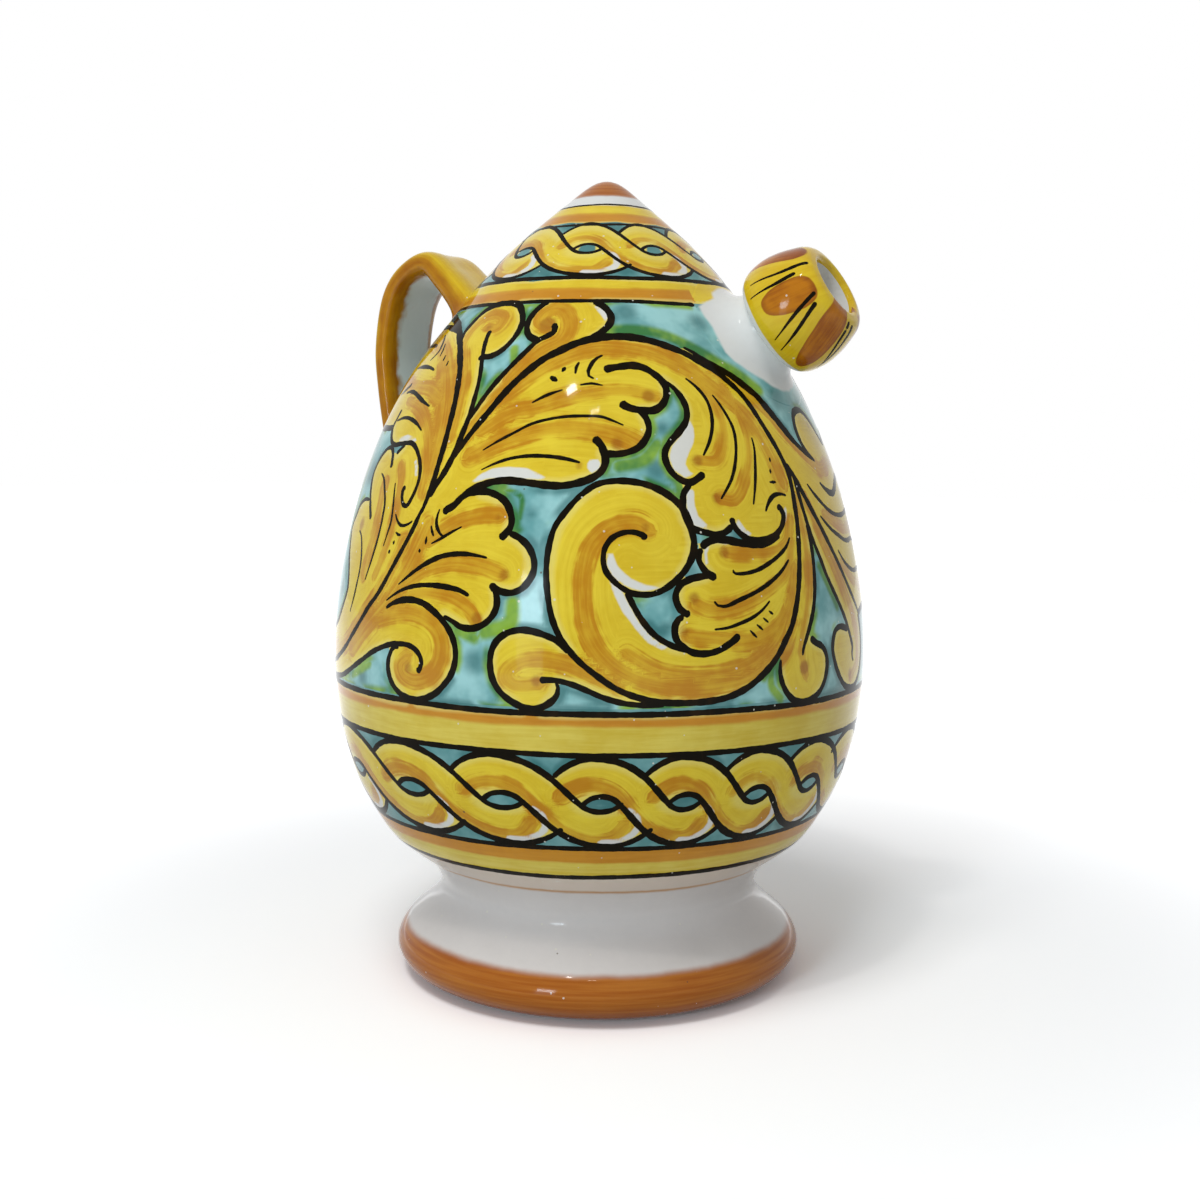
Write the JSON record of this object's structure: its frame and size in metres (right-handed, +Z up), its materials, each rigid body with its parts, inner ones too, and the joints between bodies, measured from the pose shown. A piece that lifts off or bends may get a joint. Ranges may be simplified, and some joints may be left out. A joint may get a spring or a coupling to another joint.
{
  "type": "water jug",
  "caption": "Closed glazed clay jug on a flared foot, with a pointed crown, a strap handle, a bulb spout and an inner fill tube open in the foot.",
  "frame": {"origin": "centre of the foot, on the surface the jug stands on", "axes": "+Z up the jug's axis to its point, +X to the spout, -X to the handle"},
  "size_m": [0.1883, 0.1882, 0.28],
  "materials": {
    "painted_glaze": "glossy tin glaze on fired clay, painted in yellow, ochre, green and black",
    "white_glaze": "glossy white tin glaze on fired clay",
    "handle_glaze": "glossy yellow and ochre glaze on fired clay",
    "spout_glaze": "glossy yellow glaze with ochre and black strokes on fired clay",
    "bare_clay": "bare fired red clay"
  },
  "bodies": {
    "root": {"foot_ring": "white_glaze", "belly": "painted_glaze", "crown": "painted_glaze", "floor_tube": "bare_clay", "handle": "handle_glaze", "spout_neck": "white_glaze", "spout_mouthpiece": "spout_glaze"}
  },
  "joints": []
}
